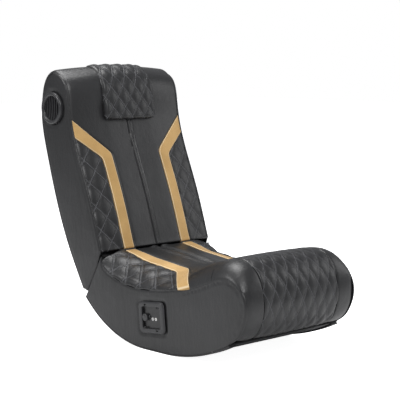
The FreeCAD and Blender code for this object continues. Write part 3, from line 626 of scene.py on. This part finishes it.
def seat_middle():
    def right(d):
        return np.minimum(seat_in(d) - 0.0004, COVER_X)

    def lift(x, d, side_gap, end_gap):
        fading = np.clip((0.36 - d) / 0.20, 0, 1)
        groove = 0.0055 * fading * np.exp(-(x / 0.006) ** 2)
        swell = 0.0040 * fading * np.exp(-((np.abs(x) - 0.022) / 0.013) ** 2)
        at_side = np.where(right(d) >= COVER_X - 1e-6, 1.0, 0.0)
        edge = rolled(side_gap, 0.010, 0.0030) * (1 - at_side) + rolled(side_gap, 0.016, 0.0085) * at_side
        return seat_height(x, d) + edge - groove + swell + rolled(d - CREASE_START, CREASE_ROUND, CREASE_DROP)

    rows = np.concatenate((np.linspace(CREASE_START, 0.02, 9)[:-1], np.linspace(0.02, SEAT_LENGTH, 110)))
    piece, _ = panel("seat_cushion_cover", seat_skin, rows, lambda d: -right(d), right, 121, lift,
                         seat_under)
    finish_soft(piece, plain_black, "seat", 0.7, "seat_cushion")


seat_middle()


# Seat wings: quilted leather outside the seat's stripes, sewn over foam. They roll over the
# shoulders and run out into the side covers with a flat seam.
def seat_wings():
    for side, name in ((1, "left"), (-1, "right")):
        def inner(d):
            return np.minimum(seat_out(d) + 0.0004, COVER_X - 0.0005)

        left = (lambda d: inner(d)) if side > 0 else (lambda d: np.full_like(d, -COVER_X))
        right = (lambda d: np.full_like(d, COVER_X)) if side > 0 else (lambda d: -inner(d))
        edges = ((0.006, 0.0025), (0.007, 0.0012))
        rows = np.concatenate((np.linspace(CREASE_START, 0.02, 9)[:-1], np.linspace(0.02, 0.313, 90)))
        piece = quilted_panel("seat_wing_cover_" + name, seat_skin, rows, left, right, 31, seat_height,
                              SEAT_PAD, (0.060, 0.062), 0.0044, (side * 0.182, 0.012),
                              edges=edges if side > 0 else edges[::-1])
        finish_soft(piece, quilted_black, "seat", 0.6, "seat_wing_" + name)


seat_wings()
stripes("seat", seat_skin, seat_in, seat_out, seat_height, SEAT_PAD, 0.358,
        lambda d, end_gap: rolled(d - CREASE_START, CREASE_ROUND, CREASE_DROP))

# Bolster: the seat's round front, quilted black leather over foam that runs over the top, down
# the front and under the edge. Plain ends close it on both sides.
BOLSTER_END = 0.778
BOLSTER_HALF = 0.148


def bolster():
    def fade(d):
        return np.clip((d - 0.455) / 0.06, 0, 1)

    rows = np.linspace(SEAT_LENGTH + 0.0003, BOLSTER_END, 110)
    piece = quilted_panel("bolster_cover", seat_skin, rows, lambda d: np.full_like(d, -BOLSTER_HALF + 0.0004),
                          lambda d: np.full_like(d, BOLSTER_HALF - 0.0004), 121, seat_height, SEAT_PAD,
                          (0.0424, 0.085), 0.0034, (0.0, BOLSTER_END - 0.02), fade=fade,
                          edges=((0.008, 0.0035), (0.008, 0.0035)), end=(0.001, 0.0003))
    finish_soft(piece, quilted_black, "seat", 0.7, "bolster")
    for side, name in ((1, "left"), (-1, "right")):
        left = -COVER_X if side < 0 else BOLSTER_HALF + 0.0004
        right = COVER_X if side > 0 else -BOLSTER_HALF - 0.0004

        def lift(x, d, side_gap, end_gap):
            inner = rolled(np.abs(x) - BOLSTER_HALF, 0.008, 0.0030)
            outer = rolled(COVER_X - np.abs(x), 0.026, 0.010)
            swell = 0.0015 * np.sin(math.pi * np.clip((np.abs(x) - BOLSTER_HALF) / 0.07, 0, 1))
            return seat_height(x, d) + inner + outer + swell * np.clip((d - 0.46) / 0.05, 0, 1)

        piece, _ = panel("bolster_end_cover_" + name, seat_skin, rows,
                         lambda d, e=left: np.full_like(d, e), lambda d, e=right: np.full_like(d, e),
                         33, lift, seat_under)
        finish_soft(piece, plain_black, "seat", 0.7, "bolster_end_" + name)


bolster()


# Side covers: leather over a thin foam sheet on the plywood sides, sewn to the front and rear
# covers all round. Each is cut to its side's outline and has round holes for what sits in it.
BUTT = math.radians(-60.6)
CREASE = np.array((0.184 + ROW_SHIFT, 0.250))


def inside_outline(spots, outline):
    """Which of the spots lie inside a closed outline."""
    hit = np.zeros(len(spots), bool)
    for a, b in zip(outline, np.roll(outline, -1, 0)):
        crosses = (a[1] > spots[:, 1]) != (b[1] > spots[:, 1])
        at = a[0] + (spots[:, 1] - a[1]) * (b[0] - a[0]) / (b[1] - a[1] + 1e-12)
        hit ^= crosses & (spots[:, 0] < at)
    return hit


def gap_to(spots, outline):
    """Each spot's distance to a closed outline."""
    least = np.full(len(spots), 9.0)
    for a, b in zip(outline, np.roll(outline, -1, 0)):
        run = b - a
        share = np.clip(((spots - a) @ run) / max(run @ run, 1e-12), 0, 1)
        least = np.minimum(least, np.linalg.norm(spots - a - share[:, None] * run, axis=1))
    return least


def cut_at_butt(outline, front, gap=0.0004):
    """The part of an outline that lies in front of the butt, or behind it."""
    square = np.array((-math.sin(BUTT), math.cos(BUTT))) * (-1 if front else 1)
    height = (outline - CREASE) @ square - gap
    kept = []
    for i in range(len(outline)):
        a, b = outline[i], outline[(i + 1) % len(outline)]
        ha, hb = height[i], height[(i + 1) % len(outline)]
        if ha >= 0:
            kept.append(a)
        if (ha >= 0) != (hb >= 0):
            kept.append(a + (b - a) * ha / (ha - hb))
    return np.array(kept)


def evenly(outline, step):
    """The outline again, with points a step apart."""
    closed = np.concatenate((outline, outline[:1]))
    far = np.concatenate(([0], np.cumsum(np.linalg.norm(np.diff(closed, axis=0), axis=1))))
    at = np.linspace(0, far[-1], int(far[-1] / step), endpoint=False)
    return np.stack([np.interp(at, far, closed[:, k]) for k in (0, 1)], 1)


def side_cover(name, side, outline, holes, inner_x, surface, step=0.0055):
    """A cover in the side view, whose outer face stands at surface(spots, gap to its edge)."""
    rim = evenly(outline, 0.004)
    rings = [rim] + [evenly(hole, 0.003) for hole in holes]
    low, high = rim.min(0), rim.max(0)
    ys, zs = np.meshgrid(np.arange(low[0], high[0], step), np.arange(low[1], high[1], step * 0.87))
    ys[1::2] += step / 2
    field = np.stack((ys, zs), -1).reshape(-1, 2)
    gaps = np.min([gap_to(field, ring) for ring in rings], 0)
    inner = [field[inside_outline(field, rim) & (gaps > 0.011)]]
    tangent = np.roll(rim, -1, 0) - np.roll(rim, 1, 0)
    tangent /= np.linalg.norm(tangent, axis=1)[:, None]
    across = np.stack((-tangent[:, 1], tangent[:, 0]), 1)
    if not inside_outline(rim + across * 0.001, rim).mean() > 0.5:
        across = -across
    for depth in (0.0007, 0.0018, 0.0034, 0.0055, 0.0082):
        ring = rim + across * depth
        clear = (np.min([gap_to(ring, r) for r in rings], 0) > depth * 0.93) & inside_outline(ring, rim)
        inner.append(ring[clear])
    keep = np.concatenate(inner)
    for hole in rings[1:]:
        keep = keep[~inside_outline(keep, hole)]
    points = np.concatenate(rings + [keep])
    edges, start = [], 0
    for ring in rings:
        count = len(ring)
        edges += [(start + i, start + (i + 1) % count) for i in range(count)]
        start += count
    done = delaunay_2d_cdt([Vector(p) for p in points], edges, [], 0, 1e-6)
    flat = np.array([tuple(v) for v in done[0]])
    triangles = np.array([f for f in done[2] if len(f) == 3])
    centre = flat[triangles].mean(1)
    good = inside_outline(centre, rim)
    for hole in rings[1:]:
        good &= ~inside_outline(centre, hole)
    triangles = triangles[good]
    gap = np.minimum(gap_to(flat, rim), 1)
    hole_gap = np.min([gap_to(flat, ring) for ring in rings[1:]], 0) if holes else np.full(len(flat), 1.0)
    out = surface(flat, gap, hole_gap)
    count = len(flat)
    face = np.stack((side * out, flat[:, 0], flat[:, 1]), 1)
    rear = np.stack((np.full(count, side * inner_x), flat[:, 0], flat[:, 1]), 1)
    pairs = {}
    for t in triangles:
        for a, b in ((t[0], t[1]), (t[1], t[2]), (t[2], t[0])):
            key = (min(a, b), max(a, b))
            pairs[key] = None if key in pairs else (a, b)
    border = [ab for ab in pairs.values() if ab]
    faces = [tuple(t) for t in triangles] + [tuple(t[::-1] + count) for t in triangles]
    faces += [(b, a, a + count, b + count) for a, b in border]
    used = sorted({i for f in faces for i in f})
    order = {old: new for new, old in enumerate(used)}
    points = np.concatenate((face, rear))[used]
    return solid_mesh(name, points, [tuple(order[i] for i in f) for f in faces])


def ring_of(centre, radius, count=72):
    turn = np.linspace(0, 2 * math.pi, count, endpoint=False)
    return np.array(centre) + radius * np.stack((np.cos(turn), np.sin(turn)), 1)


SPEAKER = np.array((0.408 + ROW_SHIFT, 0.664))
GRILLE_R = 0.048
INSET = 0.0045
SIDE_FACE = 0.2197
SIDE_INNER = 0.2122


def back_sides():
    front = back_skin.place(np.linspace(0.006, back_skin.length, 400), INSET)
    low = np.array((0.238 + ROW_SHIFT, 0.127))
    outline = cut_at_butt(np.concatenate((front, low[None])), False)

    def surface(spots, gap, hole_gap):
        swell = 0.0012 * np.clip(gap / 0.05, 0, 1)
        seam = 0.0018 * np.exp(-((gap - 0.010) / 0.0022) ** 2)
        return SIDE_FACE + rolled(gap, 0.010, 0.0048) + swell - seam + rolled(hole_gap, 0.011, 0.0040)

    for side, name in ((1, "left"), (-1, "right")):
        piece = side_cover("back_side_cover_" + name, side, outline, [ring_of(SPEAKER, GRILLE_R + 0.0006)],
                           SIDE_INNER, surface)
        finish_soft(piece, plain_black, "back", 0.3, "back_side_" + name)


back_sides()


# Rear cover: one sheet of black leather from the top of the head down the back, sewn to the
# side covers and pulled tight over the frame.
def rear_cover():
    def lift(x, d, side_gap, end_gap):
        return back_height(x, d) + rolled(side_gap, 0.014, 0.0080) + 0.0006

    rows = np.linspace(BACK_TOP + 0.0004, back_skin.length - 0.0005, 120)
    piece, _ = panel("rear_cover", back_skin, rows, lambda d: np.full_like(d, -COVER_X),
                     lambda d: np.full_like(d, COVER_X), 61, lift, lambda x, d, up: 0.0022 - up)
    finish_soft(piece, plain_black, "back", 0.2, "back_rear_cover")


rear_cover()


# The seat's side covers follow the seat's side seam round the front and the rocker's curve
# below. The right one has the control panel's opening, and the bezel's screws pull it in there.
PANEL_AT = np.array((-0.0396 + ROW_SHIFT, 0.096))
PANEL_TILT = math.radians(-5.5)
RUNNER_T = 0.0045


FLAT_FRONT, FLAT_REAR = -0.084, -0.008
FRONT_END, REAR_END = -0.340, 0.300
FRONT_RADIUS, REAR_RADIUS = 0.568, 0.376


def rocker_line(height):
    """The chair's bottom line: a round rise, the short flat that it stands on, and a round rise."""
    line = []
    front = np.linspace(math.asin((FRONT_END - FLAT_FRONT) / FRONT_RADIUS), 0, 60)
    rear = np.linspace(0, math.asin((REAR_END - FLAT_REAR) / REAR_RADIUS), 60)
    for start, radius, turns in ((FLAT_FRONT, FRONT_RADIUS, front), (FLAT_REAR, REAR_RADIUS, rear)):
        reach = radius - height
        line += [(start + reach * math.sin(t), radius - reach * math.cos(t)) for t in turns]
    return np.array(line) + (ROW_SHIFT, 0)


def turned(points, centre, angle):
    spin = np.array(((math.cos(angle), -math.sin(angle)), (math.sin(angle), math.cos(angle))))
    return points @ spin.T + centre


def seat_sides():
    top = seat_seam.place(np.linspace(seat_seam.length, 0.004, 400), INSET)
    outline = cut_at_butt(np.concatenate((top, rocker_line(RUNNER_T + 0.0006)[::-1])), True)
    window = np.array(((-0.045, -0.0365), (0.045, -0.0365), (0.045, 0.0365), (-0.045, 0.0365)))

    def surface(spots, gap, hole_gap):
        swell = 0.0012 * np.clip(gap / 0.05, 0, 1)
        seam_side = np.clip((spots[:, 1] - 0.05) / 0.05, 0, 1)
        seam_side = seam_side * (1 - 0.85 * smooth(spots[:, 0], -0.225, -0.165))
        seam = 0.0026 * np.exp(-((gap - 0.011) / 0.0024) ** 2) * seam_side
        rim = rolled(gap, 0.010, 0.0064) * (0.28 + 0.72 * seam_side)
        pulled_in = 0.0032 * (1 - smooth(hole_gap, 0.009, 0.019))
        return SIDE_FACE + rim + swell - seam - pulled_in

    for side, name in ((1, "left"), (-1, "right")):
        holes = [turned(window, PANEL_AT, PANEL_TILT)] if side < 0 else []
        piece = side_cover("seat_side_cover_" + name, side, outline, holes, SIDE_INNER, surface)
        finish_soft(piece, plain_black, "seat", 0.3, "seat_side_" + name)


seat_sides()


# Speakers: a moulded black ring over each driver, with a dished centre behind upright slats.
# The ring is one round section turned about the speaker's axis, and both parts are glued together.
RING_SECTION = ((0.0355, 0.2128), (0.0358, 0.2232), (0.0375, 0.2262), (0.0402, 0.2277), (0.0432, 0.2279),
                (0.0460, 0.2268), (0.0477, 0.2245), (0.0481, 0.2212), (0.0481, 0.2128))
DISH_SECTION = ((0.0, 0.2162), (0.0180, 0.2168), (0.0362, 0.2186), (0.0362, 0.2172), (0.0180, 0.2154),
                (0.0, 0.2148))
SLAT_PITCH = 0.0078


def black_plastic(name, light, dark, rough):
    plastic = Finish(name)
    cloud = plastic.noise(60.0, 4.0)
    sparks = plastic.node("ShaderNodeTexVoronoi", {}, {"Vector": plastic.place(), "Scale": 900.0})
    tint = plastic.mix(cloud.ramp(0.3, 0.7), dark, light)
    normal = plastic.bump(sparks, 0.00012, 0.5)
    normal = plastic.bump(plastic.noise(700.0, 2.0), 0.0001, 0.4, normal)
    return plastic.surface(Base_Color=tint, Roughness=rough + cloud * 0.12, Normal=normal)


moulded = black_plastic("moulded black plastic", (0.030, 0.030, 0.032, 1), (0.020, 0.020, 0.022, 1), 0.26)


def deselect():
    if bpy.context.object and bpy.context.object.mode != "OBJECT":
        bpy.ops.object.mode_set(mode="OBJECT")
    bpy.ops.object.select_all(action="DESELECT")


def turned_piece(name, section, side, closed):
    """A solid made by spinning a section, given as radius and distance out, about the speaker's axis."""
    points = [(side * out, SPEAKER[0] + radius, SPEAKER[1]) for radius, out in section]
    count = len(points)
    mesh = bpy.data.meshes.new(name)
    mesh.from_pydata(points, [(i, (i + 1) % count) for i in range(count - (0 if closed else 1))], [])
    piece = bpy.data.objects.new(name, mesh)
    bpy.context.scene.collection.objects.link(piece)
    deselect()
    piece.select_set(True)
    bpy.context.view_layer.objects.active = piece
    bpy.ops.object.mode_set(mode="EDIT")
    bpy.ops.mesh.select_all(action="SELECT")
    bpy.ops.mesh.spin(steps=80, angle=2 * math.pi, center=(0, *SPEAKER), axis=(1, 0, 0))
    bpy.ops.mesh.select_all(action="SELECT")
    bpy.ops.mesh.remove_doubles(threshold=0.00002)
    bpy.ops.mesh.normals_make_consistent(inside=False)
    bpy.ops.object.mode_set(mode="OBJECT")
    return piece


def speaker_slats(side):
    made = []
    for k in range(-4, 5):
        across = k * SLAT_PITCH
        half = math.sqrt(0.0360 ** 2 - across ** 2)
        deselect()
        bpy.ops.mesh.primitive_cube_add(size=1, location=(side * 0.2205, SPEAKER[0] + across, SPEAKER[1]),
                                        scale=(0.0052, 0.0026, 2 * half))
        slat = bpy.context.object
        bpy.ops.object.transform_apply(location=True, rotation=True, scale=True)
        bpy.ops.object.mode_set(mode="EDIT")
        bpy.ops.mesh.select_all(action="SELECT")
        bpy.ops.mesh.subdivide(number_cuts=9)
        bpy.ops.object.mode_set(mode="OBJECT")
        for vertex in slat.data.vertices:
            from_middle = math.hypot(vertex.co.y - SPEAKER[0], vertex.co.z - SPEAKER[1]) / 0.0362
            vertex.co.x += side * 0.0030 * (1 - min(1.0, from_middle) ** 2)
            bow = 0.004 * (1 - ((vertex.co.z - SPEAKER[1]) / 0.0362) ** 2)
            vertex.co.y += bow * k / 4
        made.append(slat)
    return made


for side, name in ((1, "left"), (-1, "right")):
    parts = [turned_piece("speaker_ring_" + name, RING_SECTION, side, True),
             turned_piece("speaker_dish_" + name, DISH_SECTION, side, False)] + speaker_slats(side)
    deselect()
    for part in parts:
        part.select_set(True)
    ring = parts[0]
    bpy.context.view_layer.objects.active = ring
    bpy.ops.object.join()
    bpy.ops.object.shade_smooth_by_angle(angle=math.radians(35))
    ring.data.materials.clear()
    ring.data.materials.append(moulded)
    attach(ring, "back")
    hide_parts("speaker_grille_" + name)


# Control panel: a moulded bezel with rounded edges, screwed to the side at its four corners, round
# a sunk face plate with the volume knob, a button and two sockets.
def rounded_copy(node, width, segments=3):
    """The node's own shape with its sharp edges rounded, as moulded plastic comes out."""
    deselect()
    piece = bpy.data.objects.new(node + "_moulded", nodes[node].data.copy())
    bpy.context.scene.collection.objects.link(piece)
    piece.select_set(True)
    bpy.context.view_layer.objects.active = piece
    bpy.ops.object.mode_set(mode="EDIT")
    bpy.ops.mesh.select_all(action="SELECT")
    bpy.ops.mesh.remove_doubles(threshold=0.00002)
    bpy.ops.mesh.dissolve_limited(angle_limit=math.radians(1.5))
    bpy.ops.mesh.normals_make_consistent(inside=False)
    bpy.ops.object.mode_set(mode="OBJECT")
    bevel = piece.modifiers.new("edges", "BEVEL")
    bevel.width = width
    bevel.segments = segments
    bevel.limit_method = "ANGLE"
    bevel.angle_limit = math.radians(28)
    bevel.use_clamp_overlap = True
    bpy.ops.object.modifier_apply(modifier="edges")
    bpy.ops.object.shade_smooth_by_angle(angle=math.radians(35))
    piece.data.materials.clear()
    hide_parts(node)
    return piece


glossy = black_plastic("glossy black plastic", (0.016, 0.016, 0.017, 1), (0.010, 0.010, 0.011, 1), 0.24)
for node, width, body in (("control_bezel", 0.0016, "seat"), ("volume_knob", 0.0010, "knob"),
                          ("power_button", 0.0006, "button")):
    piece = rounded_copy(node, width)
    piece.data.materials.append(moulded)
    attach(piece, body)

SCREW_R = 0.0032
SCREW_DEEP = 0.0022
SCREW_OUT = 0.2252
SCREWS = ((-0.0660, 0.1275), (-0.0656, 0.0624), (-0.0136, 0.1296), (-0.0132, 0.0645))


def panel_screws():
    """Small domed screws with a crossed slot, one in each corner of the bezel."""
    steel = Finish("blackened screw steel")
    worn = steel.noise(300.0, 3.0)
    tint = steel.mix(worn.ramp(0.35, 0.65), (0.05, 0.05, 0.052, 1), (0.14, 0.14, 0.145, 1))
    finish = steel.surface(Base_Color=tint, Roughness=0.3 + worn * 0.15, Metallic=0.9,
                           Normal=steel.bump(worn, 0.0001, 0.4))
    made = []
    for y, z in SCREWS:
        deselect()
        bpy.ops.mesh.primitive_cylinder_add(vertices=24, radius=SCREW_R, depth=SCREW_DEEP,
                                            location=(-SCREW_OUT, y + ROW_SHIFT, z),
                                            rotation=(0, math.pi / 2, 0))
        screw = bpy.context.object
        bpy.ops.object.transform_apply(location=True, rotation=True, scale=True)
        bpy.ops.object.mode_set(mode="EDIT")
        bpy.ops.mesh.select_all(action="DESELECT")
        bpy.ops.object.mode_set(mode="OBJECT")
        for face in screw.data.polygons:
            face.select = face.normal.x < -0.9
        bpy.ops.object.mode_set(mode="EDIT")
        bpy.ops.mesh.bevel(offset=0.0006, segments=2)
        bpy.ops.mesh.inset(thickness=0.0010)
        bpy.ops.mesh.extrude_region_move(TRANSFORM_OT_translate={"value": (0.0008, 0, 0)})
        bpy.ops.object.mode_set(mode="OBJECT")
        made.append(screw)
    deselect()
    for screw in made:
        screw.select_set(True)
    bpy.context.view_layer.objects.active = made[0]
    bpy.ops.object.join()
    bpy.ops.object.shade_smooth_by_angle(angle=math.radians(35))
    made[0].name = "panel_screws"
    made[0].data.materials.clear()
    made[0].data.materials.append(finish)
    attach(made[0], "seat")


panel_screws()


# Kept solids: the plywood frame, lined with black cloth where a gap shows it, the painted runners
# and hinges, and the sound parts inside. At the crease the black of cloth and hinges is painted shade.
def plain_finish(name, colour, darker, rough, scale, bump, metallic=0.0):
    kind = Finish(name)
    cloud = kind.noise(scale, 4.0)
    tint = kind.mix(cloud.ramp(0.3, 0.7), (*darker, 1), (*colour, 1))
    normal = kind.bump(kind.noise(scale * 12, 2.0), bump, 0.5)
    return kind.surface(Base_Color=tint, Roughness=rough + cloud * 0.1, Metallic=metallic, Normal=normal)


FINISHES = {
    "wood": plain_finish("plywood", (0.62, 0.45, 0.27), (0.5, 0.34, 0.19), 0.6, 30.0, 0.0005),
    "steel": plain_finish("zinc steel", (0.62, 0.62, 0.6), (0.5, 0.5, 0.5), 0.3, 60.0, 0.0001, 1.0),
    "glossy": glossy,
    # Black cloth on the boards: its black also stands in for the crease's shade where gaps show the frame.
    "lining": plain_finish("black lining cloth", (0.018, 0.018, 0.019), (0.012, 0.012, 0.013),
                           0.85, 140.0, 0.0006),
    "painted": plain_finish("black painted steel", (0.02, 0.02, 0.021), (0.012, 0.012, 0.013),
                            0.45, 80.0, 0.0002),
    "plastic": plain_finish("black plastic", (0.022, 0.022, 0.024), (0.016, 0.016, 0.018),
                            0.35, 90.0, 0.0001),
    "cone": plain_finish("speaker cone", (0.03, 0.03, 0.032), (0.02, 0.02, 0.022), 0.7, 90.0, 0.0002),
    "socket": plain_finish("bright socket", (0.75, 0.74, 0.72), (0.6, 0.6, 0.6), 0.25, 90.0, 0.0001, 1.0),
}
# The hinges are painted black, which also stands in for the crease's shade where they show.
KIND_OF_NODE = (
    ("runner", "painted"), ("base_board", "painted"), ("leaf", "painted"), ("hinge_pin", "painted"),
    ("seat_rail_rear", "lining"), ("back_rail_lower", "lining"), ("deck", "lining"),
    ("seat_board", "lining"), ("back_board", "lining"), ("seat_front_board", "lining"),
    ("seat_rail_front", "lining"), ("magnet", "steel"), ("speaker_basket", "cone"),
    ("speaker_grille", "plastic"), ("jack", "socket"), ("control_plate", "glossy"), ("control", "plastic"),
    ("knob", "plastic"), ("button", "plastic"), ("amplifier", "plastic"))
for node, solid in nodes.items():
    kind = next((k for word, k in KIND_OF_NODE if word in node), "wood")
    solid.data.materials.clear()
    solid.data.materials.append(FINISHES[kind])

bpy.context.view_layer.update()
